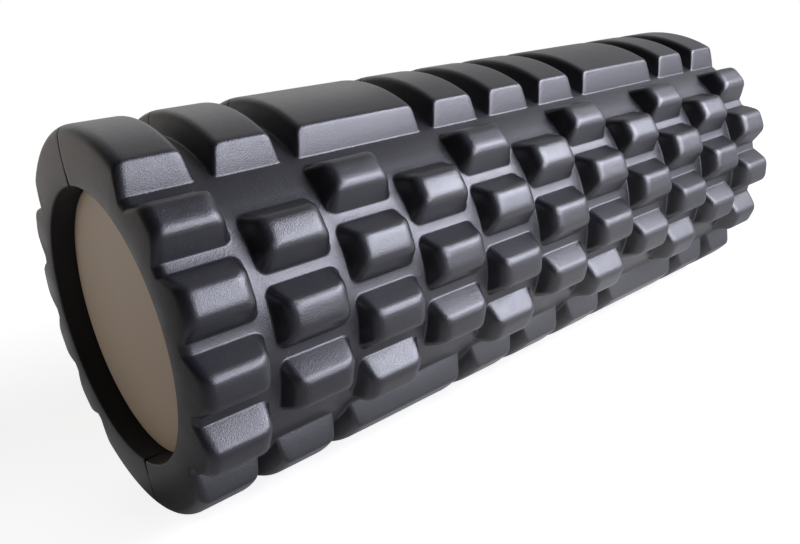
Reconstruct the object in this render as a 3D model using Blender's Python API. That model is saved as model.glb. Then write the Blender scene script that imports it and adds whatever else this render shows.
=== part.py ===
"""Massage roller: a moulded foam sleeve of raised blocks, in two half shells, glued round a capped tube.

The roller lies along X with its axis through the origin, and its glue seams at the top and the bottom.
Each half shell is laid out as a flat sheet, its blocks are raised on it, and it is then wrapped round the axis.
A sheet point is (u, v, h): u along X, v round the valley's arc from the side of the roller, h above the valley.
"""
from math import atan2, copysign, cos, pi, radians, sin

import bmesh
import bpy
from mathutils import Matrix, Vector
from mathutils.geometry import delaunay_2d_cdt

# Overall sizes, in metres
ROLLER_LENGTH = 0.340
CROWN_RADIUS = 0.070
BLOCK_HEIGHT = 0.0081
FOAM_WALL = 0.0119

# End face of the sleeve: a flat ring round the bore, then drops behind it at the valley and at the crowns
BORE_CHAMFER = 0.0008
FLAT_RING_WIDTH = 0.0060
VALLEY_END_DROP = 0.0013
CROWN_END_DROP = 0.0032

# Columns of blocks along the roller: the two end columns are cut shorter than the rest
END_COLUMN = 0.0277
COLUMN_GAP = 0.0042
COLUMN_FLANK_RUN = 0.0027

# Rows of blocks round the roller, between the wide strips
ROWS = 4
ROW_GAP = 0.0036
BLOCK_CROWN_WIDTH = 0.0100
BASE_CORNER = 0.0034
CROWN_CORNER = 0.0022
CROWN_CHAMFER = 0.0010
LARGEST_CORNER_SHARE = 0.45

# Wide strips along the seams, cut into blocks that span one or two columns
STRIP_BLOCKS = (1, 1, 2, 1, 1, 1, 2, 1, 1)
STRIP_CROWN_HALF = radians(37.6)
STRIP_FLANK_RUN = 0.0064
STRIP_FLATS = 9
GROOVE_GAP = 0.0066
GROOVE_FLANK_RUN = 0.0022

# Tube and end caps inside the sleeve
TUBE_WALL = 0.0030
END_RECESS = 0.0086
FLANGE_THICKNESS = 0.0026
SKIRT_DEPTH = 0.0120
SKIRT_WALL = 0.0022
EDGE_BREAK = 0.0006
FIT_GAP = 0.0003
TURNED_SEGMENTS = 60

# Sizes that follow
HALF_LENGTH = ROLLER_LENGTH / 2
VALLEY_RADIUS = CROWN_RADIUS - BLOCK_HEIGHT
BORE_RADIUS = VALLEY_RADIUS - FOAM_WALL
RING_INNER_RADIUS = BORE_RADIUS + BORE_CHAMFER
RING_OUTER_RADIUS = RING_INNER_RADIUS + FLAT_RING_WIDTH
FLAT_ANGLE = 2 * STRIP_CROWN_HALF / STRIP_FLATS
SEAM_V = VALLEY_RADIUS * pi / 2
STRIP_CROWN_V = VALLEY_RADIUS * (pi / 2 - STRIP_CROWN_HALF)
STRIP_BASE_V = STRIP_CROWN_V - STRIP_FLANK_RUN
COLUMNS = sum(STRIP_BLOCKS)
COLUMN_PITCH = (ROLLER_LENGTH - 2 * END_COLUMN) / (COLUMNS - 2)
BLOCK_BASE_WIDTH = (2 * STRIP_BASE_V - (ROWS + 1) * ROW_GAP) / ROWS
ROW_PITCH = BLOCK_BASE_WIDTH + ROW_GAP
CROWN_HALF_V = BLOCK_CROWN_WIDTH / 2 * VALLEY_RADIUS / CROWN_RADIUS
SHOULDER_SHARE = 1 - CROWN_CHAMFER / BLOCK_HEIGHT
TUBE_RADIUS = BORE_RADIUS - FIT_GAP
CAP_FACE_X = HALF_LENGTH - END_RECESS
TUBE_END_X = CAP_FACE_X - FLANGE_THICKNESS - FIT_GAP

# Working values of the layout
MILLIMETRES = 1000.0
LAYOUT_TOLERANCE_MM = 1e-4
RIM_TOLERANCE = 1e-6
STRIP_RAILS = 6
SMOOTH_ANGLE = radians(35)


def clear_scene():
    for item in list(bpy.data.objects):
        bpy.data.objects.remove(item, do_unlink=True)


def material(name, colour, roughness):
    made = bpy.data.materials.new(name)
    made.use_nodes = True
    shader = made.node_tree.nodes["Principled BSDF"]
    shader.inputs["Base Color"].default_value = (*colour, 1.0)
    shader.inputs["Roughness"].default_value = roughness
    shader.inputs["Metallic"].default_value = 0.0
    made.diffuse_color = (*colour, 1.0)
    return made


def place(name, mesh, finish, turn=Matrix.Identity(4)):
    """One named object for one piece, which may share its mesh with its twin."""
    if finish.name not in mesh.materials:
        mesh.materials.append(finish)
    item = bpy.data.objects.new(name, mesh)
    bpy.context.scene.collection.objects.link(item)
    item.matrix_world = turn
    return item


def finished_mesh(name, bm):
    bmesh.ops.recalc_face_normals(bm, faces=bm.faces)
    bmesh.ops.triangulate(bm, faces=bm.faces)
    mesh = bpy.data.meshes.new(name)
    bm.to_mesh(mesh)
    bm.free()
    mesh.shade_smooth()
    mesh.set_sharp_from_angle(angle=SMOOTH_ANGLE)
    return mesh


def wrap(u, v, h):
    """A sheet point on the roller: each flat of the wrapped sheet touches its true radius at its middle."""
    radius = VALLEY_RADIUS + h
    if abs(v) > SEAM_V - FIT_GAP:
        return Vector((u, -FIT_GAP / 2, copysign(radius, v)))
    angle = v / VALLEY_RADIUS
    corner_radius = radius / cos(FLAT_ANGLE / 2)
    return Vector((u, -corner_radius * cos(angle), corner_radius * sin(angle)))


def column_edge(index):
    """Where column number index begins: the ends lie on the sleeve's end faces."""
    if index == 0:
        return -HALF_LENGTH
    if index == COLUMNS:
        return HALF_LENGTH
    return -HALF_LENGTH + END_COLUMN + (index - 1) * COLUMN_PITCH


def block_span(first, last, gap, flank_run):
    """Base and crown spans along u of a block over columns first to last, with its drafted ends."""
    base = []
    crown = []
    for index, inward in ((first, 1), (last, -1)):
        at_end = index in (0, COLUMNS)
        base_inset = VALLEY_END_DROP if at_end else gap / 2
        crown_inset = CROWN_END_DROP if at_end else base_inset + flank_run
        base.append(column_edge(index) + inward * base_inset)
        crown.append(column_edge(index) + inward * crown_inset)
    return base, crown


def outline(u_span, v_span, corner, square_ends=(False, False)):
    """Twelve points round a rectangle with rounded corners, or square ones where it runs out to an end face."""
    corner = min(corner, LARGEST_CORNER_SHARE * min(u_span[1] - u_span[0], v_span[1] - v_span[0]))
    points = []
    for u_side, v_side in ((1, 1), (0, 1), (0, 0), (1, 0)):
        u_in = 1 - 2 * u_side
        v_in = 1 - 2 * v_side
        tip = (u_span[u_side], v_span[v_side])
        along_u = (tip[0] + u_in * corner, tip[1])
        along_v = (tip[0], tip[1] + v_in * corner)
        round_off = 0.0 if square_ends[u_side] else corner * (1 - cos(pi / 4))
        middle = (tip[0] + u_in * round_off, tip[1] + v_in * round_off)
        upward = (u_side == v_side)
        points += [along_v, middle, along_u] if upward else [along_u, middle, along_v]
    return points


def blend(low, high, share):
    return [(a[0] + (b[0] - a[0]) * share, a[1] + (b[1] - a[1]) * share) for a, b in zip(low, high)]


def small_block_rings(column, centre_v):
    """Base, shoulder and crown rings of one small block, each with its height above the valley."""
    base_u, crown_u = block_span(column, column + 1, COLUMN_GAP, COLUMN_FLANK_RUN)
    base_v = (centre_v - BLOCK_BASE_WIDTH / 2, centre_v + BLOCK_BASE_WIDTH / 2)
    crown_v = (centre_v - CROWN_HALF_V, centre_v + CROWN_HALF_V)
    square = (column == 0, column == COLUMNS - 1)
    base = outline(base_u, base_v, BASE_CORNER, square)
    edge = outline(crown_u, crown_v, CROWN_CORNER)
    inner_u = (crown_u[0] + CROWN_CHAMFER, crown_u[1] - CROWN_CHAMFER)
    inner_v = (crown_v[0] + CROWN_CHAMFER, crown_v[1] - CROWN_CHAMFER)
    crown = outline(inner_u, inner_v, CROWN_CORNER)
    shoulder = blend(base, edge, SHOULDER_SHARE)
    return [(base, 0.0), (shoulder, SHOULDER_SHARE * BLOCK_HEIGHT), (crown, BLOCK_HEIGHT)]


def block_rows(column):
    """Middles of the small blocks in a column: odd columns hold one block fewer, half a pitch across."""
    count = ROWS - column % 2
    return [(row - (count - 1) / 2) * ROW_PITCH for row in range(count)]


def strip_stations(side):
    """Stations across a strip block, from its front edge to the seam: (v at the base, v at the crown)."""
    stations = [(STRIP_BASE_V, STRIP_CROWN_V)]
    for step in range(1, STRIP_FLATS // 2 + 1):
        v = STRIP_CROWN_V + step * VALLEY_RADIUS * FLAT_ANGLE
        stations.append((v, v))
    stations.append((SEAM_V, SEAM_V))
    return [(side * base, side * crown) for base, crown in stations]


def strip_spans():
    spans = []
    first = 0
    for width in STRIP_BLOCKS:
        spans.append((first, first + width))
        first += width
    return spans


def strip_block_rails(span, side):
    """Six rails of (u, v, h) points, from the base at one end of the block over its crown to the other."""
    base_u, crown_u = block_span(*span, GROOVE_GAP, GROOVE_FLANK_RUN)
    shoulder_h = SHOULDER_SHARE * BLOCK_HEIGHT
    rails = [[] for _ in range(STRIP_RAILS)]
    for number, (base_v, crown_v) in enumerate(strip_stations(side)):
        front = number == 0
        shoulder_v = base_v + (crown_v - base_v) * SHOULDER_SHARE
        top_v = crown_v + side * CROWN_CHAMFER if front else crown_v
        for end, inward in ((0, 1), (1, -1)):
            shoulder_u = base_u[end] + (crown_u[end] - base_u[end]) * SHOULDER_SHARE
            top_u = crown_u[end] + inward * CROWN_CHAMFER
            points = [(base_u[end], base_v, 0.0), (shoulder_u, shoulder_v, shoulder_h), (top_u, top_v, BLOCK_HEIGHT)]
            for level, point in enumerate(points):
                rails[level if end == 0 else STRIP_RAILS - 1 - level].append(point)
    return rails


def open_ground_points():
    """Extra valley points where odd columns leave bare ground beside the strips, so that it stays round."""
    points = []
    outer_block_v = ROW_PITCH * (ROWS - 2) / 2 + BLOCK_BASE_WIDTH / 2
    ground_v = (outer_block_v + STRIP_BASE_V) / 2
    for column in range(1, COLUMNS, 2):
        for share in (0.0, 0.5, 1.0):
            u = column_edge(column) + share * (column_edge(column + 1) - column_edge(column))
            points += [(u, ground_v), (u, -ground_v)]
    return points


class Sheet:
    """The flat layout: its base outlines first, then one triangulated valley, then the raised blocks."""

    def __init__(self):
        self.points = []
        self.loops = []
        self.bm = bmesh.new()
        self.base = []

    def add_loop(self, outline_points, clockwise=False):
        first = len(self.points)
        self.points += outline_points
        loop = list(range(first, first + len(outline_points)))
        self.loops.append(loop[::-1] if clockwise else loop)
        return loop

    def build_valley(self, loose_points, end_u):
        """Triangulate the ground between the block outlines and the sheet's own edge."""
        corners = [(-end_u, -SEAM_V), (end_u, -SEAM_V), (end_u, SEAM_V), (-end_u, SEAM_V)]
        first = len(self.points)
        flat = [Vector(p) * MILLIMETRES for p in self.points + corners + loose_points]
        frame = [(first + k, first + (k + 1) % 4) for k in range(4)]
        found = delaunay_2d_cdt(flat, frame, self.loops, 0, LAYOUT_TOLERANCE_MM, True)
        spots, _, faces, source_points, _, source_faces = found
        verts = [self.bm.verts.new(wrap(p.x / MILLIMETRES, p.y / MILLIMETRES, 0.0)) for p in spots]
        self.base = [None] * len(flat)
        for vert, sources in zip(verts, source_points):
            for source in sources:
                self.base[source] = vert
        for face, sources in zip(faces, source_faces):
            if not sources:
                self.bm.faces.new([verts[k] for k in face])

    def raise_ring(self, points, height):
        return [self.bm.verts.new(wrap(u, v, height)) for u, v in points]

    def skin(self, low, high, closed):
        count = len(low) if closed else len(low) - 1
        for k in range(count):
            j = (k + 1) % len(low)
            self.bm.faces.new((low[k], low[j], high[j], high[k]))


def add_small_blocks(sheet):
    blocks = []
    for column in range(COLUMNS):
        for centre_v in block_rows(column):
            rings = small_block_rings(column, centre_v)
            blocks.append((sheet.add_loop(rings[0][0]), rings[1:]))
    return blocks


def add_strip_blocks(sheet):
    blocks = []
    for side in (-1, 1):
        for span in strip_spans():
            rails = strip_block_rails(span, side)
            near = [(u, v) for u, v, _ in rails[0]]
            far = [(u, v) for u, v, _ in rails[5]]
            loop = sheet.add_loop(near + far[::-1], clockwise=side > 0)
            blocks.append((loop, rails[1:5]))
    return blocks


def raise_small_blocks(sheet, blocks):
    for loop, rings in blocks:
        low = [sheet.base[k] for k in loop]
        for points, height in rings:
            high = sheet.raise_ring(points, height)
            sheet.skin(low, high, closed=True)
            low = high
        sheet.bm.faces.new(low)


def raise_strip_blocks(sheet, blocks):
    for loop, rails in blocks:
        half = len(loop) // 2
        near = [sheet.base[k] for k in loop[:half]]
        far = [sheet.base[k] for k in loop[half:]][::-1]
        middle = [[sheet.bm.verts.new(wrap(*point)) for point in rail] for rail in rails]
        lines = [near, *middle, far]
        for low, high in zip(lines, lines[1:]):
            sheet.skin(low, high, closed=False)
        sheet.bm.faces.new((lines[0][0], lines[5][0], lines[4][0], lines[1][0]))
        sheet.bm.faces.new((lines[1][0], lines[4][0], lines[3][0], lines[2][0]))


def polar_angle(vert):
    """Angle of a vertex round the roller, which grows from the bottom seam to the top one."""
    return atan2(vert.co.z, -vert.co.y)


def turned_corner(radius):
    """Radius of the corners of a turned ring whose flats touch the given radius."""
    return radius / cos(pi / TURNED_SEGMENTS)


def arc_verts(bm, x, radius):
    """One ring of the half bore or of the half end face."""
    steps = TURNED_SEGMENTS // 2
    corner_radius = turned_corner(radius)
    ring = []
    for k in range(steps + 1):
        angle = -pi / 2 + pi * k / steps
        y = -FIT_GAP / 2 if k in (0, steps) else -corner_radius * cos(angle)
        ring.append(bm.verts.new((x, y, corner_radius * sin(angle))))
    return ring


def zip_chains(bm, first, second):
    """Triangles between two open chains of vertices that run the same way round."""
    a = [polar_angle(v) for v in first]
    b = [polar_angle(v) for v in second]
    i = 0
    j = 0
    while i < len(first) - 1 or j < len(second) - 1:
        step_first = j == len(second) - 1 or (i < len(first) - 1 and a[i + 1] <= b[j + 1])
        if step_first:
            bm.faces.new((first[i], first[i + 1], second[j]))
            i += 1
        else:
            bm.faces.new((first[i], second[j + 1], second[j]))
            j += 1


def close_shell(bm, end_u):
    """End faces, bore and seam faces behind the wrapped sheet."""
    bores = []
    for side in (-1, 1):
        rim = [v for v in bm.verts if v.is_boundary and abs(v.co.x - side * end_u) < RIM_TOLERANCE]
        rim.sort(key=polar_angle)
        flat_outer = arc_verts(bm, side * HALF_LENGTH, RING_OUTER_RADIUS)
        flat_inner = arc_verts(bm, side * HALF_LENGTH, RING_INNER_RADIUS)
        bore = arc_verts(bm, side * (HALF_LENGTH - BORE_CHAMFER), BORE_RADIUS)
        zip_chains(bm, rim, flat_outer)
        zip_chains(bm, flat_outer, flat_inner)
        zip_chains(bm, flat_inner, bore)
        bores.append(bore)
    near, far = bores
    for k in range(len(near) - 1):
        bm.faces.new((near[k], near[k + 1], far[k + 1], far[k]))
    open_edges = [e for e in bm.edges if e.is_boundary]
    bmesh.ops.holes_fill(bm, edges=open_edges, sides=0)


def half_shell_mesh():
    sheet = Sheet()
    small = add_small_blocks(sheet)
    strips = add_strip_blocks(sheet)
    end_u = HALF_LENGTH - VALLEY_END_DROP
    sheet.build_valley(open_ground_points(), end_u)
    raise_small_blocks(sheet, small)
    raise_strip_blocks(sheet, strips)
    close_shell(sheet.bm, end_u)
    return finished_mesh("foam_half_shell", sheet.bm)


def turned_mesh(name, profile):
    """A piece turned about X from (x, r) points: an open profile's ends are filled with flat discs."""
    bm = bmesh.new()
    start = [bm.verts.new((x, 0.0, turned_corner(r))) for x, r in profile]
    closed = profile[0] == profile[-1]
    if closed:
        bm.verts.remove(start.pop())
    edges = [bm.edges.new(pair) for pair in zip(start, start[1:])]
    if closed:
        edges.append(bm.edges.new((start[-1], start[0])))
    bmesh.ops.spin(bm, geom=start + edges, cent=(0, 0, 0), axis=(1, 0, 0), angle=2 * pi,
                   steps=TURNED_SEGMENTS, use_merge=True)
    open_edges = [e for e in bm.edges if e.is_boundary]
    if open_edges:
        bmesh.ops.holes_fill(bm, edges=open_edges, sides=0)
    return finished_mesh(name, bm)


def core_tube_mesh():
    inner = TUBE_RADIUS - TUBE_WALL
    corners = [(-TUBE_END_X, inner), (-TUBE_END_X, TUBE_RADIUS), (TUBE_END_X, TUBE_RADIUS), (TUBE_END_X, inner)]
    return turned_mesh("core_tube", corners + corners[:1])


def end_cap_mesh():
    """Cap at the +X end: a flat flange over the tube's end and a skirt pressed into the tube."""
    back_x = CAP_FACE_X - FLANGE_THICKNESS
    skirt_radius = TUBE_RADIUS - TUBE_WALL - FIT_GAP
    skirt_inner = skirt_radius - SKIRT_WALL
    skirt_end = back_x - SKIRT_DEPTH
    profile = [
        (CAP_FACE_X, skirt_inner),
        (CAP_FACE_X, TUBE_RADIUS - EDGE_BREAK),
        (CAP_FACE_X - EDGE_BREAK, TUBE_RADIUS),
        (back_x, TUBE_RADIUS),
        (back_x, skirt_radius),
        (skirt_end + EDGE_BREAK, skirt_radius),
        (skirt_end, skirt_radius - EDGE_BREAK),
        (skirt_end, skirt_inner),
        (back_x, skirt_inner),
    ]
    return turned_mesh("end_cap", profile)


def build():
    clear_scene()
    foam = material("eva_foam", (0.045, 0.044, 0.050), 0.55)
    tube_plastic = material("tube_plastic", (0.030, 0.030, 0.032), 0.50)
    cap_plastic = material("cap_plastic", (0.330, 0.290, 0.250), 0.45)

    shell = half_shell_mesh()
    place("foam_shell_front", shell, foam)
    place("foam_shell_back", shell, foam, Matrix.Rotation(pi, 4, "X"))

    place("core_tube", core_tube_mesh(), tube_plastic)

    cap = end_cap_mesh()
    place("end_cap_far", cap, cap_plastic)
    place("end_cap_near", cap, cap_plastic, Matrix.Rotation(pi, 4, "Z"))


build()
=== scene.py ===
"""Looks of the massage roller: a moulded foam sleeve in two halves round a capped tube, on a pale floor.

Sizes of the sleeve are in millimetres until polar() turns them into metres.
A sheet spot is (u, v, h): u along the roller, v round the valley from the side of the roller, h above it.
"""
from math import acos, atan, atan2, ceil, cos, hypot, pi, radians, sin, tan

import bmesh
import bpy
from mathutils import Matrix, Vector, noise
from mathutils.geometry import delaunay_2d_cdt

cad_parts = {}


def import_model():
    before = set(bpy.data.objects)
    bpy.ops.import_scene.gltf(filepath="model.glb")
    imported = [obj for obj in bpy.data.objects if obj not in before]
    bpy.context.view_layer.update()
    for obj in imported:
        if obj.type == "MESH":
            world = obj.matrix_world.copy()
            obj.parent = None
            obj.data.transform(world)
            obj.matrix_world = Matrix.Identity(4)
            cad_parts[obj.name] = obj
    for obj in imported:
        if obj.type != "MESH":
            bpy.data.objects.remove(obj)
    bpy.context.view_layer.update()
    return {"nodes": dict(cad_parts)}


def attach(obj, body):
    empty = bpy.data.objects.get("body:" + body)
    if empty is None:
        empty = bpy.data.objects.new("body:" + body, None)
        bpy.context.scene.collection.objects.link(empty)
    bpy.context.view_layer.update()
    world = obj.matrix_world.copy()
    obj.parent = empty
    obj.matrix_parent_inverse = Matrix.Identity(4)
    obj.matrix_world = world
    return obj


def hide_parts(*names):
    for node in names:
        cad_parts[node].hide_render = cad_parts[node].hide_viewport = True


MM = 0.001

# Sleeve
LENGTH = 340.0
HALF = LENGTH / 2
CROWN_R = 70.0
BLOCK_H = 8.1
VALLEY_R = CROWN_R - BLOCK_H
BORE_R = 50.0
SEAM_GAP = 0.004
SEAM_V = VALLEY_R * pi / 2
SEAM_DIP = 0.28
SEAM_MOUTH = 0.9
SEAM_MOUTH_WIDTH = 3.0
SEAM_MOUTH_RISE = 5.0
SEAM_MOUTH_DEPTH = 8.0
SEAM_DIP_REACH = 0.55
SEAM_BAND = 2 * SEAM_DIP_REACH
SEAM_STOPS = (0.18, 0.36, 0.55)
# How close to the seam and to the bore, in millimetres, the foam gets painted shade
SEAM_PAINTED_SHADE_BAND = 0.2
BORE_PAINTED_SHADE_BAND = 0.3

# Mark in the height attribute for the inside of the seam and of the bore, where the foam gets painted shade
PAINTED_SHADE_MARK = -1.0

# Columns and rows of blocks
STRIP_BLOCKS = (1, 1, 2, 1, 1, 1, 2, 1, 1)
COLUMNS = sum(STRIP_BLOCKS)
END_COLUMN = 27.7
COLUMN_PITCH = (LENGTH - 2 * END_COLUMN) / (COLUMNS - 2)
COLUMN_GAP = 4.2
COLUMN_RUN = 2.7
ROWS = 4
ROW_GAP = 3.6
STRIP_CROWN_V = VALLEY_R * radians(90 - 37.6)
STRIP_RUN = 6.4
STRIP_BASE_V = STRIP_CROWN_V - STRIP_RUN
BLOCK_BASE = (2 * STRIP_BASE_V - (ROWS + 1) * ROW_GAP) / ROWS
BLOCK_CROWN_HALF = 4.42
ROW_PITCH = BLOCK_BASE + ROW_GAP
GROOVE_GAP = 6.6
GROOVE_RUN = 2.2

# Sides of a block, against the clock from the one toward +u; corner k lies where side k starts
EAST, NORTH, WEST, SOUTH = range(4)

# Rounding of the blocks: plan corners at base and crown, the fillet at the base, then the crown's edges,
# first those that run along the roller and then those across it
BLOCK_ROUNDING = {"base": 3.4, "crown": 2.0, "fillet": 0.9, "edge": 4.4, "cross_edge": 5.0, "steps": 6}
STRIP_ROUNDING = {"base": 1.3, "crown": 1.2, "fillet": 0.8, "edge": 1.8, "cross_edge": 3.0, "steps": 3}
FILLET_STEPS = 4
EDGE_STEPS = 6
LEAST_RISE = 0.07
FLANK_STEPS = 3
FILL_SPACING = 2.6
FILL_MARGIN = 1.5
CROWN_FILL_INSET = 1.1

# End face: bore lip, flat ring, gentle dome, and a rounded edge that is wider on the blocks
FLAT_RING_R = 56.5
DOME_RISE = 0.006
VALLEY_END_ROUND = 3.2
CROWN_END_ROUND = 4.1
END_BAND = 12.0
END_ARC_STEPS = 8
END_DOME_STEPS = 6
LIP_R = 0.8
LIP_STEPS = 3
BORE_STOPS = (3.0, 6.0, 9.0, 14.0)

# Gentle unevenness of the moulding
WAVE_SIZE = 24.0
WAVE_DEPTH = 0.05

# End caps
CAP_R = 49.7
CAP_FACE = 161.4
CAP_EDGE = 0.5
CAP_THICK = 2.6
SKIRT_R = 46.4
SKIRT_INNER_R = 44.2
SKIRT_DEPTH = 12.0
CAP_SEGMENTS = 160
CAP_EDGE_STEPS = 5
CAP_FACE_RINGS = (0.25, 0.5, 0.75, 0.93)

# Working values
LAYOUT_TOLERANCE = 1e-6
ON_EDGE = 1e-6
WELD = 0.001
SHARP_ANGLE = radians(34)

# Foam finish: its noises as size in millimetres, detail and roughness, the size of its grain, then the share
# of each layer in colour, gloss and relief
FOAM_NOISES = {"cloud": (26.0, 3.0, 0.5), "mottle": (3.2, 3.0, 0.5), "pores": (0.30, 2.0, 0.65)}
SPECK_NOISE = (0.9, 1.0, 0.5)
GRAIN_SIZE = 0.5
GRAIN_SMOOTH = 0.3
FOAM_DARK = (0.0042, 0.0042, 0.0070)
FOAM_LIGHT = (0.0105, 0.0105, 0.0145)
FOAM_IN_TONE = {"cloud": 0.5, "mottle": 0.35, "grain": 0.25}
SPECK_COLOUR = (0.12, 0.12, 0.13)
SPECK_FROM = 0.735
SPECK_SOFT = 0.03
SPECK_SHARE = 0.35
# Painted shade: near-black colour for the foam inside the seam and the bore
PAINTED_SHADE_COLOUR = (0.0015, 0.0015, 0.0018)
CROWN_FROM = 0.9
CROWN_SOFT = 0.1
FOAM_ROUGHNESS = 0.30
FOAM_IN_ROUGHNESS = {"cloud": 0.08, "mottle": 0.06, "pores": 0.06, "crown": -0.03, "painted_shade": 0.45}
FOAM_IN_RELIEF = {"grain": 0.5, "pores": 0.5}
FOAM_BROAD_BUMP = {"depth_mm": 0.10, "strength": 0.5}
FOAM_FINE_BUMP = {"depth_mm": 0.080, "strength": 0.9}
FOAM_SPECULAR = 0.85

# Cap and tube finishes, in the same form
CAP_NOISES = {"cloud": (40.0, 3.0, 0.5), "grain": (0.8, 2.0, 0.5), "streak": (6.0, 4.0, 0.5)}
CAP_DARK = (0.46, 0.38, 0.305)
CAP_LIGHT = (0.52, 0.435, 0.355)
CAP_IN_TONE = {"cloud": 0.7, "streak": 0.3}
CAP_ROUGHNESS = 0.45
CAP_IN_ROUGHNESS = {"cloud": 0.08, "grain": 0.05}
CAP_BUMP = {"depth_mm": 0.02, "strength": 0.4}
TUBE_NOISE = (4.0, 3.0, 0.5)
TUBE_DARK = (0.018, 0.018, 0.020)
TUBE_LIGHT = (0.032, 0.032, 0.034)
TUBE_ROUGHNESS = 0.45
TUBE_IN_ROUGHNESS = 0.1
TUBE_BUMP = {"depth_mm": 0.03, "strength": 0.3}

# Floor: its dull tone, then the glow that the camera sees, weaker near the roller
FLOOR_REACH = 12.0
FLOOR_TONE = 0.45
FLOOR_ROUGHNESS = 0.9
FLOOR_LIFT_NEAR = 0.82
FLOOR_LIFT_FAR = 1.0
FLOOR_NEAR = 0.30
FLOOR_FAR = 0.80

# How much of that glow reflections show, with painted light and shadow: a painted pool of light just beyond
# the roller on one side, painted shadow under the roller
FLOOR_BRIGHT_SIDE = (0.9, 0.3, 0.0)
FLOOR_BRIGHT_FROM = -0.26
FLOOR_BRIGHT_SOFT = 0.36
FLOOR_DIM_FROM = 0.05
FLOOR_DIM_SOFT = 0.12
FLOOR_DIM = 0.55
CONTACT_FROM = 0.008
CONTACT_SOFT = 0.03

# World: even light, and the backdrop that reflections show
WORLD_STRENGTH = 0.015
BACKDROP_SIDE = (0.74, 0.65, 0.15)
BACKDROP_FROM = -0.2
BACKDROP_SOFT = 1.0
BACKDROP_IN_GLOSS = 0.55

# Lamps: name, place, aim, size, power and colour
KEY_COLOUR = (0.84, 0.85, 1.0)
KEY_SIZE = (0.46, 0.46)
KEY_HIGH_SIZE = (0.46, 0.60)
CENTRE = (0.0, 0.0, 0.0)
NEAR_END = (-0.17, 0.0, 0.0)
NEAR_CAP = (-0.16, 0.0, 0.0)
LAMPS = (
    ("key_low_front", (0.312, -1.466, 0.052), CENTRE, KEY_SIZE, 11.6, KEY_COLOUR),
    ("key_low", (0.750, -1.298, 0.052), CENTRE, KEY_SIZE, 5.6, KEY_COLOUR),
    ("key_low_side", (1.114, -1.003, 0.052), CENTRE, KEY_SIZE, 1.5, KEY_COLOUR),
    ("key_high_front", (0.705, -1.221, 0.580), CENTRE, KEY_HIGH_SIZE, 12.2, KEY_COLOUR),
    ("key_high", (1.047, -0.943, 0.580), CENTRE, KEY_HIGH_SIZE, 15.3, KEY_COLOUR),
    ("key_high_side", (1.288, -0.573, 0.580), CENTRE, KEY_HIGH_SIZE, 1.4, KEY_COLOUR),
    ("back_panel", (0.35, 1.15, 1.05), CENTRE, (1.6, 1.0), 2.2, (1.0, 0.98, 0.97)),
    ("left_panel", (-0.75, 1.35, 0.30), NEAR_END, (1.0, 0.8), 0.7, (1.0, 0.85, 0.72)),
    ("cool_bounce", (-0.285, 0.045, 0.07), (-0.16, 0.01, 0.01), (0.1, 0.1), 0.056, (0.86, 0.93, 1.0)),
    ("warm_bounce", (-1.30, 0.0, 0.10), NEAR_CAP, (0.8, 0.8), 2.1, (1.0, 0.68, 0.34)),
)

# Camera, fitted to the photograph; the roll is in degrees about the line of sight
CAMERA_AT = (-0.24864, -0.26929, 0.05788)
CAMERA_AHEAD = (0.59848, 0.77216, -0.21349)
CAMERA_ROLL = -10.588
CAMERA_LENS = 34.798
CAMERA_SENSOR = 36.0
CAMERA_CLIP = 0.01

# Sockets of the colour form of the Mix node
MIX_SHARE = 0
MIX_LOW = 6
MIX_HIGH = 7
MIX_RESULT = 2


# Shader building
class Wire:
    """A shader socket on which arithmetic adds Math nodes."""

    def __init__(self, graph, socket):
        self.graph = graph
        self.socket = socket

    def math(self, operation, *others):
        return self.graph.node("Math", {"operation": operation}, dict(enumerate((self, *others))))

    def __add__(self, other):
        return self.math("ADD", other)

    __radd__ = __add__

    def __mul__(self, other):
        return self.math("MULTIPLY", other)

    __rmul__ = __mul__

    def __sub__(self, other):
        return self.math("SUBTRACT", other)

    def __rsub__(self, other):
        return self.graph.node("Math", {"operation": "SUBTRACT"}, {0: other, 1: self})

    def above(self, edge, soft):
        """0 below edge, 1 above edge + soft, with a smooth step between."""
        settings = {"interpolation_type": "SMOOTHSTEP"}
        inputs = {"Value": self, "From Min": edge, "From Max": edge + soft}
        return self.graph.node("MapRange", settings, inputs)


def blend(layers, shares):
    """The sum of the named layers, each times its share."""
    total, *others = [layers[name] * share for name, share in shares.items()]
    for part in others:
        total = total + part
    return total


def with_alpha(colour):
    return (*colour, 1.0) if isinstance(colour, tuple) else colour


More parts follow.
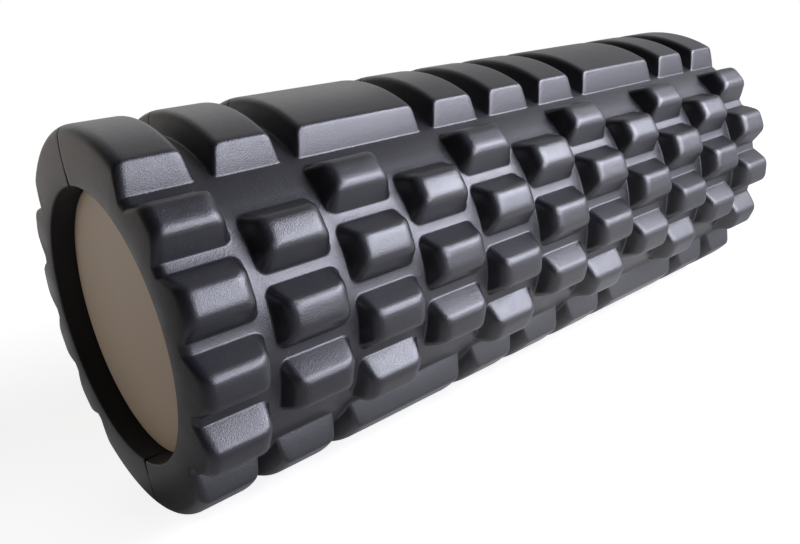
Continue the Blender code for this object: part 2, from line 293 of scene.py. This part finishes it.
class Graph:
    """The nodes of one material."""

    def __init__(self, name):
        self.material = bpy.data.materials.new(name)
        self.material.use_nodes = True
        self.tree = self.material.node_tree
        self.shader = self.tree.nodes["Principled BSDF"]
        self.output = self.tree.nodes["Material Output"]

    def node(self, kind, settings=None, inputs=None, output=0):
        made = self.tree.nodes.new("ShaderNode" + kind)
        for key, value in (settings or {}).items():
            setattr(made, key, value)
        for key, value in (inputs or {}).items():
            self.feed(made.inputs[key], value)
        return Wire(self, made.outputs[output])

    def feed(self, socket, value):
        if isinstance(value, Wire):
            self.tree.links.new(value.socket, socket)
        else:
            socket.default_value = value

    def place(self, scale=1.0):
        """Object coordinates in metres, times scale."""
        spot = self.node("TexCoord", output="Object")
        return self.node("VectorMath", {"operation": "SCALE"}, {0: spot, "Scale": scale})

    def noise(self, size_mm, detail, roughness):
        place = self.place(1 / (size_mm * MM))
        inputs = {"Vector": place, "Scale": 1.0, "Detail": detail, "Roughness": roughness}
        return self.node("TexNoise", None, inputs)

    def noises(self, values):
        return {name: self.noise(*each) for name, each in values.items()}

    def cells(self, size_mm, smooth):
        """Distance from the middle of the nearest cell: 0 in the middle, near 1 at the rim."""
        inputs = {"Vector": self.place(1 / (size_mm * MM)), "Scale": 1.0, "Smoothness": smooth}
        return self.node("TexVoronoi", {"feature": "SMOOTH_F1"}, inputs, output="Distance")

    def mix(self, share, low, high):
        """A colour between low and high, each of them a tuple or a wire."""
        inputs = {MIX_SHARE: share, MIX_LOW: with_alpha(low), MIX_HIGH: with_alpha(high)}
        return self.node("Mix", {"data_type": "RGBA"}, inputs, output=MIX_RESULT)

    def dot(self, wire, direction):
        return self.node("VectorMath", {"operation": "DOT_PRODUCT"}, {0: wire, 1: direction}, output="Value")

    def bump(self, height, depth_mm, strength, under=None):
        """A bump, laid over another one where under gives it."""
        inputs = {"Height": height, "Distance": depth_mm * MM, "Strength": strength}
        if under is not None:
            inputs["Normal"] = under
        return self.node("Bump", None, inputs)

    def set(self, **values):
        for key, value in values.items():
            self.feed(self.shader.inputs[key.replace("_", " ")], value)


# Sleeve surface
def column_edge(index):
    if index == 0:
        return -HALF
    if index == COLUMNS:
        return HALF
    return -HALF + END_COLUMN + (index - 1) * COLUMN_PITCH


def face_inset(radius):
    """How far the end face lies behind the end plane at a radius."""
    return DOME_RISE * max(0.0, radius - FLAT_RING_R) ** 2


def end_lean(h):
    """Turn from the sleeve's surface to the end face at height h."""
    radius = VALLEY_R + h - end_round(h)
    return pi / 2 - atan(2 * DOME_RISE * max(0.0, radius - FLAT_RING_R))


def end_round(h):
    return VALLEY_END_ROUND + (CROWN_END_ROUND - VALLEY_END_ROUND) * h / BLOCK_H


def end_inset(h):
    """How far from the end plane the rounding of the end starts at height h."""
    rounding = end_round(h)
    lean = end_lean(h)
    return face_inset(VALLEY_R + h - rounding * (1 - cos(lean))) + rounding * sin(lean)


def seam_dip(v):
    away = (SEAM_V - abs(v)) / SEAM_DIP_REACH
    return SEAM_DIP * (1 - away) ** 2 if away < 1 else 0.0


def on_seam(v):
    return abs(v) > SEAM_V - ON_EDGE


def on_end(u):
    return abs(u) > HALF - ON_EDGE


def seam_mouth(x, radius):
    """Half the width of the small opening where the seam meets the bore at an end."""
    from_end = max(0.0, 1 - (HALF - abs(x)) / SEAM_MOUTH_DEPTH)
    from_bore = max(0.0, 1 - (radius - BORE_R) / SEAM_MOUTH_RISE)
    return SEAM_MOUTH * from_end * from_bore ** 2


def polar(x, v, radius):
    """A point in metres at length x and radius, at the angle of v; the seam is set back by half its gap."""
    angle = v / VALLEY_R
    away = SEAM_GAP / 2 if on_seam(v) else radius * cos(angle)
    away += seam_mouth(x, radius) * max(0.0, 1 - away / SEAM_MOUTH_WIDTH)
    return Vector((x, -away, radius * sin(angle))) * MM


def sheet_u(u, h):
    """Length at height h of a spot laid out at u, squeezed near the ends to make room for the end face."""
    from_end = HALF - abs(u)
    if from_end >= END_BAND:
        return u
    inset = end_inset(h)
    return (HALF - inset - from_end * (END_BAND - inset) / END_BAND) * (1 if u > 0 else -1)


def wave(u, v):
    return WAVE_DEPTH * noise.noise(Vector((u, v, 0.0)) / WAVE_SIZE)


def wrap(u, v, h):
    return polar(sheet_u(u, h), v, VALLEY_R + h - seam_dip(v) + wave(u, v))


def side_stops(start, end, seam_at_start, seam_at_end):
    """Distances along a side at which it gets a vertex, closer together beside the seam."""
    length = abs(end - start)
    count = max(1, ceil(length / FILL_SPACING))
    stops = [length * k / count for k in range(1, count)]
    if seam_at_start:
        stops = list(SEAM_STOPS) + [stop for stop in stops if stop > SEAM_BAND]
    if seam_at_end:
        stops = [stop for stop in stops if stop < length - SEAM_BAND]
        stops += [length - stop for stop in reversed(SEAM_STOPS)]
    return stops


def corner_points(rect, index, radius, steps):
    """Corner index of a rectangle (u0, u1, v0, v1), counted from the south-east one, rounded by an arc."""
    u0, u1, v0, v1 = rect
    tip = ((u1, v0), (u1, v1), (u0, v1), (u0, v0))[index]
    if radius == 0:
        return [tip]
    inward = ((-1, 1), (-1, -1), (1, -1), (1, 1))[index]
    middle = (tip[0] + inward[0] * radius, tip[1] + inward[1] * radius)
    start = -pi / 2 + index * pi / 2
    turns = [start + pi / 2 * k / steps for k in range(steps + 1)]
    return [(middle[0] + radius * cos(t), middle[1] + radius * sin(t)) for t in turns]


def flank_inset(h, run, fillet, edge):
    """How far a drafted flank leans in at height h, with a fillet at its foot and a rounded crown edge."""
    if run == 0:
        return 0.0
    lean = atan2(BLOCK_H, run)
    if h < fillet * (1 - cos(lean)):
        return fillet * (sin(acos(1 - h / fillet)) - tan(lean / 2))
    if h > BLOCK_H - edge * (1 - cos(lean)):
        return run + edge * (tan(lean / 2) - sin(acos(1 - (BLOCK_H - h) / edge)))
    return run * h / BLOCK_H


def edge_levels(run, edge):
    """Heights of the rings through a rounded crown edge, from below."""
    lean = atan2(BLOCK_H, run)
    return [BLOCK_H - edge * (1 - cos(lean * k / EDGE_STEPS)) for k in range(EDGE_STEPS, -1, -1)]


def flank_levels(u_run, v_run, rounding):
    """Heights of the rings up the flanks: through the fillet, the straight and both kinds of crown edge."""
    lean = atan2(BLOCK_H, u_run)
    low = [rounding["fillet"] * (1 - cos(lean * k / FILLET_STEPS)) for k in range(FILLET_STEPS + 1)]
    high = edge_levels(u_run, rounding["cross_edge"])
    for level in edge_levels(v_run, rounding["edge"]):
        if all(abs(level - other) > LEAST_RISE for other in high):
            high.append(level)
    high.sort()
    between = [low[-1] + (high[0] - low[-1]) * k / FLANK_STEPS for k in range(1, FLANK_STEPS)]
    return low + between + high


class Block:
    """One raised block: its rings of (u, v, h) spots, its open sides and the rectangle that it covers."""

    def __init__(self, base, crown, rounding, open_sides):
        self.open_sides = open_sides
        self.closed = not open_sides
        self.rect = base
        self.rounding = rounding
        self.sides = [k for k in range(4) if k not in open_sides]
        while open_sides and (self.sides[0] - 1) % 4 in self.sides:
            self.sides = self.sides[1:] + self.sides[:1]
        u_run = max(abs(crown[0] - base[0]), abs(crown[1] - base[1]))
        v_run = max(abs(crown[2] - base[2]), abs(crown[3] - base[3]))
        self.runs = [0.0 if k in open_sides else (u_run, v_run)[k % 2] for k in range(4)]
        self.edges = [(rounding["cross_edge"], rounding["edge"])[k % 2] for k in range(4)]
        self.stops = None
        self.spans = None
        levels = flank_levels(u_run, v_run, rounding)
        self.rings = [[(u, v, h) for u, v in self.path(h)] for h in levels]
        self.crown = self.rect_at(BLOCK_H)

    def rect_at(self, h):
        fillet = self.rounding["fillet"]
        insets = [flank_inset(h, run, fillet, edge) for run, edge in zip(self.runs, self.edges)]
        east, north, west, south = insets
        u0, u1, v0, v1 = self.rect
        return (u0 + west, u1 - east, v0 + south, v1 - north)

    def path(self, h):
        """Points round the block at height h, against the clock, along the sides that aren't open."""
        rect = self.rect_at(h)
        share = h / BLOCK_H
        radius = self.rounding["base"] * (1 - share) + self.rounding["crown"] * share
        corners = []
        for k in range(4):
            sharp = k in self.open_sides or (k - 1) % 4 in self.open_sides
            corners.append(corner_points(rect, k, 0 if sharp else radius, self.rounding["steps"]))
        legs = [(corners[k][-1], corners[(k + 1) % 4][0]) for k in range(4)]
        spans = [hypot(end[0] - start[0], end[1] - start[1]) for start, end in legs]
        seams = [seam_ends(k, *legs[k]) for k in range(4)]
        if self.stops is None:
            self.stops = [side_stops(0.0, span, *seam) for span, seam in zip(spans, seams)]
            self.spans = spans
        points = list(corners[self.sides[0]])
        for k in self.sides:
            start, end = legs[k]
            for stop in self.stops[k]:
                at = stop_share(stop, self.spans[k], spans[k], *seams[k])
                points.append((start[0] + (end[0] - start[0]) * at, start[1] + (end[1] - start[1]) * at))
            points += corners[(k + 1) % 4]
        if self.closed:
            points = points[:-len(corners[self.sides[0]])]
        return points

    def covers(self, u, v):
        u0, u1, v0, v1 = self.rect
        return u0 - FILL_MARGIN < u < u1 + FILL_MARGIN and v0 - FILL_MARGIN < v < v1 + FILL_MARGIN

    def outline(self, ring, filled):
        """A ring closed along the open sides, with spots between if it is filled."""
        if self.closed:
            return list(ring)
        h = ring[0][2]
        stops = [ring[-1], ring[0]]
        if len(self.open_sides) == 2:
            u0, u1, v0, v1 = self.rect
            corner_u = u0 if WEST in self.open_sides else u1
            corner_v = v0 if SOUTH in self.open_sides else v1
            stops.insert(1, (corner_u, corner_v, h))
        spots = list(ring)
        for a, b in zip(stops, stops[1:]):
            if filled:
                spots += leg(a, b)
            spots.append(b)
        return spots[:-1]

    def crown_fill(self):
        """Spots on the flat of the crown."""
        u0, u1, v0, v1 = self.crown
        u0 += FILL_SPACING if WEST in self.open_sides else CROWN_FILL_INSET
        u1 -= FILL_SPACING if EAST in self.open_sides else CROWN_FILL_INSET
        v0 += FILL_SPACING if SOUTH in self.open_sides else CROWN_FILL_INSET
        v1 -= FILL_SPACING if NORTH in self.open_sides else CROWN_FILL_INSET
        spots = [(u, v, BLOCK_H) for u, v in lattice(u0, u1, v0, v1)]
        for side, v in ((SOUTH, -SEAM_V), (NORTH, SEAM_V)):
            if side in self.open_sides:
                spots += seam_rows(u0, u1, v, BLOCK_H)
        return spots


def seam_ends(side, start, end):
    """Whether a side starts and ends on the seam, which only the two sides across the roller can do."""
    across = side in (EAST, WEST)
    return across and on_seam(start[1]), across and on_seam(end[1])


def stop_share(stop, base_span, span, seam_at_start, seam_at_end):
    """Where a stop of the base ring falls on a higher ring: beside the seam it keeps its distance."""
    if seam_at_start and stop < SEAM_BAND:
        return stop / span
    if seam_at_end and base_span - stop < SEAM_BAND:
        return 1 - (base_span - stop) / span
    return stop / base_span


def leg(a, b):
    """Spots between two spots on one open side."""
    if a[0] == b[0]:
        way = 1 if b[1] > a[1] else -1
        stops = side_stops(a[1], b[1], on_seam(a[1]), on_seam(b[1]))
        return [(a[0], a[1] + way * stop, a[2]) for stop in stops]
    way = 1 if b[0] > a[0] else -1
    return [(a[0] + way * stop, a[1], a[2]) for stop in side_stops(a[0], b[0], False, False)]


def lattice(u0, u1, v0, v1):
    """Staggered (u, v) spots that fill a rectangle up to its edges."""
    rows = max(1, round((v1 - v0) / FILL_SPACING))
    columns = max(1, round((u1 - u0) / FILL_SPACING))
    spots = []
    for i in range(rows + 1):
        shift = 0.0 if i % 2 else 0.5
        for j in range(columns + 1 - (i + 1) % 2):
            spots.append((u0 + (u1 - u0) * (j + shift) / columns, v0 + (v1 - v0) * i / rows))
    return spots


def seam_rows(u0, u1, seam_v, h):
    """Close rows of spots beside the seam, where the surface dips into it."""
    count = max(1, round((u1 - u0) / FILL_SPACING))
    inward = -1 if seam_v > 0 else 1
    row_u = [u0 + (u1 - u0) * j / count for j in range(count + 1)]
    return [(u, seam_v + inward * stop, h) for u in row_u for stop in SEAM_STOPS]


def block_rects(first, last, v_base, v_crown, gap, run):
    """Rectangles of a block's base and crown between two column edges; the sleeve's ends have no gap."""
    base_u = []
    crown_u = []
    for index, inward in ((first, 1), (last, -1)):
        at_end = index in (0, COLUMNS)
        base_u.append(column_edge(index) + (0 if at_end else inward * gap / 2))
        crown_u.append(column_edge(index) + (0 if at_end else inward * (gap / 2 + run)))
    return (*base_u, *v_base), (*crown_u, *v_crown)


def end_sides(first, last):
    """The sides of a block that are open, because it runs out into an end face there."""
    sides = set()
    if first == 0:
        sides.add(WEST)
    if last == COLUMNS:
        sides.add(EAST)
    return sides


def small_blocks():
    blocks = []
    for column in range(COLUMNS):
        count = ROWS - column % 2
        for row in range(count):
            middle = (row - (count - 1) / 2) * ROW_PITCH
            v_base = (middle - BLOCK_BASE / 2, middle + BLOCK_BASE / 2)
            v_crown = (middle - BLOCK_CROWN_HALF, middle + BLOCK_CROWN_HALF)
            rects = block_rects(column, column + 1, v_base, v_crown, COLUMN_GAP, COLUMN_RUN)
            blocks.append(Block(*rects, BLOCK_ROUNDING, end_sides(column, column + 1)))
    return blocks


def strip_blocks():
    blocks = []
    first = 0
    for width in STRIP_BLOCKS:
        last = first + width
        halves = (
            (SOUTH, (-SEAM_V, -STRIP_BASE_V), (-SEAM_V, -STRIP_CROWN_V)),
            (NORTH, (STRIP_BASE_V, SEAM_V), (STRIP_CROWN_V, SEAM_V)),
        )
        for seam_side, v_base, v_crown in halves:
            rects = block_rects(first, last, v_base, v_crown, GROOVE_GAP, GROOVE_RUN)
            blocks.append(Block(*rects, STRIP_ROUNDING, end_sides(first, last) | {seam_side}))
        first = last
    return blocks


class Sleeve:
    """Half of the foam sleeve as one closed mesh."""

    def __init__(self):
        self.bm = bmesh.new()
        self.height = self.bm.verts.layers.float.new("block_height")
        self.spots = {}
        self.rims = {-1: [], 1: []}
        self.blocks = small_blocks() + strip_blocks()

    def spot(self, key):
        """The vertex at a (u, v, h) spot, made when it is first asked for."""
        if key not in self.spots:
            u, v, h = key
            vert = self.bm.verts.new(wrap(u, v, h))
            # Spots by the seam get the mark for painted shade instead of their height
            vert[self.height] = PAINTED_SHADE_MARK if SEAM_V - abs(v) < SEAM_PAINTED_SHADE_BAND else h / BLOCK_H
            self.spots[key] = vert
            if on_end(u):
                self.rims[1 if u > 0 else -1].append((v, h, vert))
        return self.spots[key]

    def patch(self, loops, loose, inside):
        """Triangles between the loops' spots and the loose ones, inside or outside the loops."""
        keys = list(dict.fromkeys([key for loop in loops for key in loop] + loose))
        index = {key: k for k, key in enumerate(keys)}
        flat = [Vector((sheet_u(u, h), v)) for u, v, h in keys]
        faces = [[index[key] for key in loop] for loop in loops]
        found = delaunay_2d_cdt(flat, [], faces, 0, LAYOUT_TOLERANCE, True)
        _, _, triangles, sources, _, owners = found
        for triangle, owner in zip(triangles, owners):
            if bool(owner) == inside:
                self.bm.faces.new([self.spot(keys[sources[k][0]]) for k in triangle])

    def skin(self, low, high, closed):
        """Quads between two rings of vertices."""
        count = len(low) if closed else len(low) - 1
        for k in range(count):
            j = (k + 1) % len(low)
            self.bm.faces.new((low[k], low[j], high[j], high[k]))

    def raise_blocks(self):
        for block in self.blocks:
            rings = [[self.spot(key) for key in ring] for ring in block.rings]
            for low, high in zip(rings, rings[1:]):
                self.skin(low, high, block.closed)
            self.patch([block.outline(block.rings[-1], True)], block.crown_fill(), True)

    def lay_valley(self):
        """The surface between the blocks, up to the ends and to close rows beside the seam."""
        reach = HALF - FILL_SPACING
        loose = lattice(-reach, reach, -SEAM_V + FILL_SPACING, SEAM_V - FILL_SPACING)
        count = round(2 * SEAM_V / FILL_SPACING)
        for end in (-HALF, HALF):
            loose += [(end, -SEAM_V + 2 * SEAM_V * k / count) for k in range(1, count)]
        count = round(2 * reach / FILL_SPACING)
        for seam in (-SEAM_V, SEAM_V):
            inward = -1 if seam > 0 else 1
            for k in range(1, count):
                u = -reach + 2 * reach * k / count
                loose += [(u, seam + inward * stop) for stop in (0.0, *SEAM_STOPS)]
        spots = [(u, v, 0.0) for u, v in loose if not any(block.covers(u, v) for block in self.blocks)]
        self.patch([block.outline(block.rings[0], False) for block in self.blocks], spots, False)

    def close_end(self, side):
        """Rounded edge, end face, lip and bore at one end; the last ring of the bore is handed back."""
        rim = sorted(self.rims[side], key=lambda entry: entry[0])
        lines = []
        for v, h, vert in rim:
            line = [vert]
            for inset, radius in end_profile(v, h):
                made = self.bm.verts.new(polar(side * (HALF - inset), v, radius))
                # The bore and the sides of the seam get the mark for painted shade
                painted_shade = radius < BORE_R + BORE_PAINTED_SHADE_BAND or SEAM_V - abs(v) < SEAM_PAINTED_SHADE_BAND
                made[self.height] = PAINTED_SHADE_MARK if painted_shade else h / BLOCK_H
                line.append(made)
            lines.append(line)
        for a, b in zip(lines, lines[1:]):
            self.skin(a, b, False)
        return [line[-1] for line in lines]

    def finish(self, name):
        self.raise_blocks()
        self.lay_valley()
        near, far = self.close_end(-1), self.close_end(1)
        self.skin(near, far, False)
        open_edges = [e for e in self.bm.edges if e.is_boundary]
        filled = bmesh.ops.holes_fill(self.bm, edges=open_edges, sides=0)
        bmesh.ops.triangulate(self.bm, faces=filled["faces"])
        bmesh.ops.recalc_face_normals(self.bm, faces=self.bm.faces)
        return smooth_mesh(name, self.bm)


def end_profile(v, h):
    """(inset, radius) pairs from the rounded edge at the end of the surface down to the bore."""
    radius = VALLEY_R + h
    rounding = end_round(h)
    lean = end_lean(h)
    start = end_inset(h)
    dip = seam_dip(v)
    pairs = []
    arc = rounding - dip
    for k in range(1, END_ARC_STEPS + 1):
        turn = lean * k / END_ARC_STEPS
        pairs.append((start - arc * sin(turn), radius - dip - arc * (1 - cos(turn))))
    foot = pairs[-1][1]
    for k in range(1, END_DOME_STEPS + 1):
        r = foot + (FLAT_RING_R - foot) * k / END_DOME_STEPS
        pairs.append((face_inset(r) + dip, r))
    for k in range(LIP_STEPS + 1):
        turn = pi / 2 * k / LIP_STEPS
        inset = LIP_R * (1 - cos(turn)) + dip * cos(turn)
        pairs.append((inset, BORE_R + LIP_R * (1 - sin(turn)) + dip * sin(turn)))
    pairs += [(stop, BORE_R + dip) for stop in BORE_STOPS]
    return pairs


def smooth_mesh(name, bm):
    mesh = bpy.data.meshes.new(name)
    bm.to_mesh(mesh)
    bm.free()
    mesh.shade_smooth()
    mesh.set_sharp_from_angle(angle=SHARP_ANGLE)
    return mesh


def add_piece(name, mesh, material, node):
    piece = bpy.data.objects.new(name, mesh)
    bpy.context.scene.collection.objects.link(piece)
    mesh.materials.clear()
    mesh.materials.append(material)
    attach(piece, "root")
    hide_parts(node)
    return piece


# End caps
def cap_mesh():
    """A cap turned about X at the far end: a flat face with a soft edge, a flange and a skirt."""
    face = CAP_FACE
    back = face - CAP_THICK
    profile = [(face, 0.0)]
    profile += [(face, CAP_R * share) for share in CAP_FACE_RINGS]
    for k in range(CAP_EDGE_STEPS + 1):
        turn = pi / 2 * k / CAP_EDGE_STEPS
        profile.append((face - CAP_EDGE * (1 - cos(turn)), CAP_R - CAP_EDGE * (1 - sin(turn))))
    profile += [(back, CAP_R), (back, SKIRT_R), (back - SKIRT_DEPTH, SKIRT_R)]
    profile += [(back - SKIRT_DEPTH, SKIRT_INNER_R), (back, SKIRT_INNER_R), (back, 0.0)]
    bm = bmesh.new()
    spots = [bm.verts.new(Vector((x, 0.0, r)) * MM) for x, r in profile]
    edges = [bm.edges.new(pair) for pair in zip(spots, spots[1:])]
    bmesh.ops.spin(bm, geom=spots + edges, cent=(0, 0, 0), axis=(1, 0, 0), angle=2 * pi,
                   steps=CAP_SEGMENTS, use_merge=True)
    bmesh.ops.remove_doubles(bm, verts=bm.verts, dist=WELD * MM)
    bmesh.ops.recalc_face_normals(bm, faces=bm.faces)
    return smooth_mesh("cap", bm)


# Finishes
def foam_material():
    g = Graph("satin_charcoal_foam")
    height = g.node("Attribute", {"attribute_name": "block_height"}, output="Fac")
    layers = g.noises(FOAM_NOISES)
    layers["grain"] = g.cells(GRAIN_SIZE, GRAIN_SMOOTH)
    layers["crown"] = height.above(CROWN_FROM, CROWN_SOFT)
    # Painted shade: the foam inside the seam and the bore is darkened to a near-black colour
    layers["painted_shade"] = 1.0 - height.above(PAINTED_SHADE_MARK, -PAINTED_SHADE_MARK)
    speck = g.noise(*SPECK_NOISE).above(SPECK_FROM, SPECK_SOFT)
    colour = g.mix(blend(layers, FOAM_IN_TONE), FOAM_DARK, FOAM_LIGHT)
    colour = g.mix(speck * SPECK_SHARE, colour, SPECK_COLOUR)
    colour = g.mix(layers["painted_shade"], colour, PAINTED_SHADE_COLOUR)
    rough = FOAM_ROUGHNESS + blend(layers, FOAM_IN_ROUGHNESS)
    broad = g.bump(layers["mottle"], **FOAM_BROAD_BUMP)
    fine = g.bump(blend(layers, FOAM_IN_RELIEF), **FOAM_FINE_BUMP, under=broad)
    g.set(Base_Color=colour, Roughness=rough, Normal=fine, Specular_IOR_Level=FOAM_SPECULAR)
    return g.material


def cap_material():
    g = Graph("grey_beige_cap")
    layers = g.noises(CAP_NOISES)
    colour = g.mix(blend(layers, CAP_IN_TONE), CAP_DARK, CAP_LIGHT)
    rough = CAP_ROUGHNESS + blend(layers, CAP_IN_ROUGHNESS)
    g.set(Base_Color=colour, Roughness=rough, Normal=g.bump(layers["grain"], **CAP_BUMP))
    return g.material


def tube_material():
    g = Graph("black_tube_plastic")
    streak = g.noise(*TUBE_NOISE)
    colour = g.mix(streak, TUBE_DARK, TUBE_LIGHT)
    rough = TUBE_ROUGHNESS + streak * TUBE_IN_ROUGHNESS
    g.set(Base_Color=colour, Roughness=rough, Normal=g.bump(streak, **TUBE_BUMP))
    return g.material


# Floor, backdrop light and lamps
def ray(g, kind):
    return g.node("LightPath", output="Is %s Ray" % kind)


def seen_rays(g, in_gloss):
    """1 for rays straight from the camera, in_gloss for those by way of a reflection or something clear."""
    by_way = ray(g, "Glossy").math("MAXIMUM", ray(g, "Transmission"))
    return ray(g, "Camera").math("MAXIMUM", by_way * in_gloss)


def painted_floor_light(g):
    """How much of the floor's glow reflections show at each place on it: painted light on one side, painted
    shadow under the roller.
    """
    side = g.dot(g.place(), FLOOR_BRIGHT_SIDE)
    bright = side.above(FLOOR_BRIGHT_FROM, FLOOR_BRIGHT_SOFT)
    dimmed = 1.0 - side.above(FLOOR_DIM_FROM, FLOOR_DIM_SOFT) * FLOOR_DIM
    off_axis = g.node("SeparateXYZ", None, {0: g.place()}, output="Y").math("ABSOLUTE")
    # Painted shadow under the roller in what reflections see of the floor
    return bright * dimmed * off_axis.above(CONTACT_FROM, CONTACT_SOFT)


def floor_material():
    """Pale and dull; the camera also sees it glow, more so away from the roller, so it reads as white."""
    g = Graph("pale_floor")
    tone = (FLOOR_TONE, FLOOR_TONE, FLOOR_TONE, 1.0)
    g.set(Roughness=FLOOR_ROUGHNESS, Base_Color=tone, Specular_IOR_Level=0.0)
    distance = g.node("VectorMath", {"operation": "LENGTH"}, {0: g.place()}, output="Value")
    far = distance.above(FLOOR_NEAR, FLOOR_FAR - FLOOR_NEAR)
    lift = far * (FLOOR_LIFT_FAR - FLOOR_LIFT_NEAR) + FLOOR_LIFT_NEAR
    # Reflections see this glow with painted light on one side and painted shadow under the roller
    glow = g.node("Emission", None, {"Color": lift * seen_rays(g, painted_floor_light(g)), "Strength": 1.0})
    total = g.node("AddShader", None, {0: Wire(g, g.shader.outputs[0]), 1: glow})
    g.tree.links.new(total.socket, g.output.inputs["Surface"])
    return g.material


def make_floor():
    mesh = bpy.data.meshes.new("floor")
    reach = FLOOR_REACH
    level = -CROWN_R * MM
    corners = [(-reach, -reach, level), (reach, -reach, level), (reach, reach, level), (-reach, reach, level)]
    mesh.from_pydata(corners, [], [(0, 1, 2, 3)])
    floor = bpy.data.objects.new("floor", mesh)
    bpy.context.scene.collection.objects.link(floor)
    mesh.materials.append(floor_material())


class WorldGraph(Graph):
    """The nodes of the world."""

    def __init__(self, name):
        self.material = bpy.data.worlds.new(name)
        self.material.use_nodes = True
        self.tree = self.material.node_tree
        self.shader = self.tree.nodes["Background"]


def make_world():
    """White to the camera and weak even light; reflections show a pale backdrop and a dark room before it."""
    g = WorldGraph("studio")
    facing = g.dot(g.node("TexCoord", output="Generated"), BACKDROP_SIDE)
    backdrop = facing.above(BACKDROP_FROM, BACKDROP_SOFT) * BACKDROP_IN_GLOSS
    g.set(Color=seen_rays(g, backdrop).math("MAXIMUM", WORLD_STRENGTH), Strength=1.0)
    bpy.context.scene.world = g.material


def make_lamp(name, spot, aim, size, power, colour):
    """A soft panel; a bounce gives light that gloss doesn't mirror."""
    is_bounce = name.endswith("bounce")
    lamp = bpy.data.lights.new(name, "AREA")
    lamp.shape = "RECTANGLE"
    lamp.size, lamp.size_y = size
    lamp.energy = power
    lamp.color = colour
    holder = bpy.data.objects.new(name, lamp)
    holder.location = spot
    holder.rotation_euler = (Vector(aim) - Vector(spot)).to_track_quat("-Z", "Y").to_euler()
    holder.visible_glossy = not is_bounce
    holder.visible_camera = not is_bounce
    bpy.context.scene.collection.objects.link(holder)


def make_camera():
    camera = bpy.data.cameras.new("camera")
    camera.sensor_width = CAMERA_SENSOR
    camera.lens = CAMERA_LENS
    camera.clip_start = CAMERA_CLIP
    holder = bpy.data.objects.new("camera", camera)
    level = Vector(CAMERA_AHEAD).to_track_quat("-Z", "Y").to_matrix().to_4x4()
    roll = Matrix.Rotation(radians(CAMERA_ROLL), 4, "Z")
    holder.matrix_world = Matrix.Translation(CAMERA_AT) @ level @ roll
    bpy.context.scene.collection.objects.link(holder)
    bpy.context.scene.camera = holder


def main():
    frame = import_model()
    make_camera()

    foam = foam_material()
    half = Sleeve().finish("sleeve_half")
    front = add_piece("sleeve_front", half, foam, "foam_shell_front")
    turned = half.copy()
    turned.transform(Matrix.Rotation(pi, 4, "X"))
    back = add_piece("sleeve_back", turned, foam, "foam_shell_back")

    plastic = cap_material()
    cap = cap_mesh()
    add_piece("cap_far", cap, plastic, "end_cap_far")
    near_cap = cap.copy()
    near_cap.transform(Matrix.Rotation(pi, 4, "Z"))
    add_piece("cap_near", near_cap, plastic, "end_cap_near")

    tube = frame["nodes"]["core_tube"]
    tube.data.materials.clear()
    tube.data.materials.append(tube_material())

    make_floor()
    make_world()
    for lamp in LAMPS:
        make_lamp(*lamp)
    bpy.context.scene.view_settings.view_transform = "Standard"


main()
